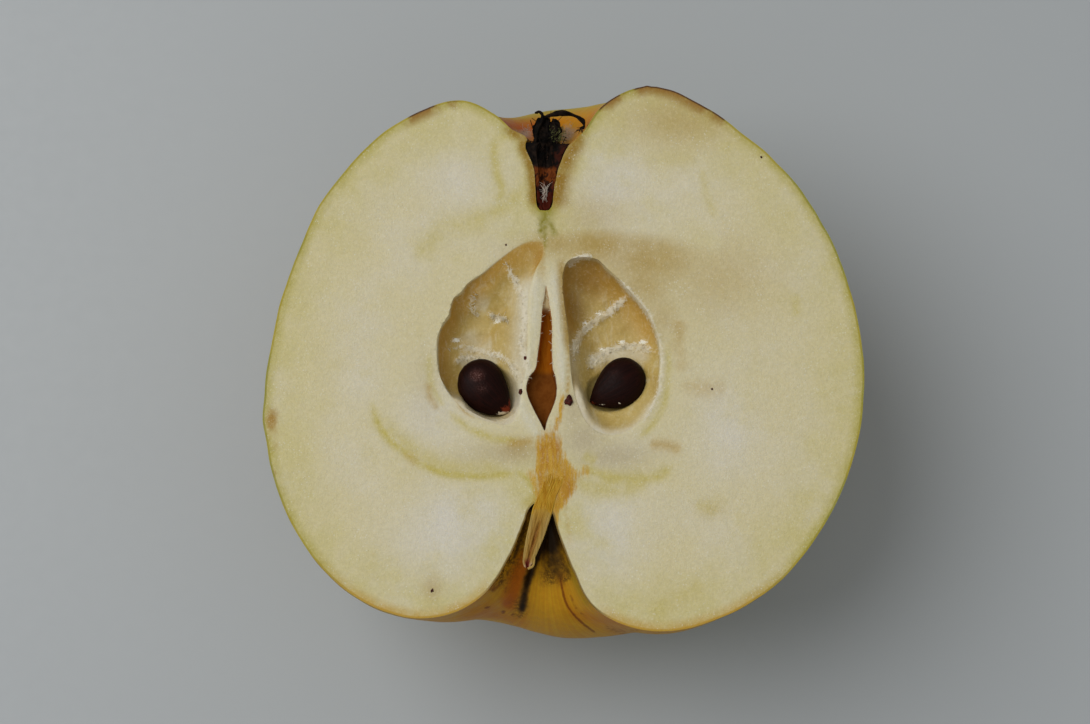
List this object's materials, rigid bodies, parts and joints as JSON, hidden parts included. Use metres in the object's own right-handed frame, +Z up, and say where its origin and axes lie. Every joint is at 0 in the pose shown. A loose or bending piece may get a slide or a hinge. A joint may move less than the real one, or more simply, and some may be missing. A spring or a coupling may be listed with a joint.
{
  "type": "apple half",
  "caption": "Half of a yellow apple, cut lengthwise through the core and lying on its round side, with open seed chambers, seeds, dried calyx and a stem stub in the flat cut face.",
  "frame": {"origin": "middle of the footprint, on the surface that the half rests on", "axes": "+X across the cut face at right angles to the core, +Y along the core towards the calyx, +Z up out of the cut face"},
  "size_m": [0.0748, 0.069, 0.0365],
  "materials": {
    "apple": "moist pale yellow flesh with a waxy yellow skin",
    "seed": "smooth, dark brown, glossy",
    "calyx": "dry, crumpled, nearly black",
    "stem": "dry, fibrous, tan"
  },
  "bodies": {
    "root": {"apple_half": "apple", "seed_left": "seed", "seed_right": "seed", "calyx": "calyx", "stem": "stem"}
  },
  "joints": []
}
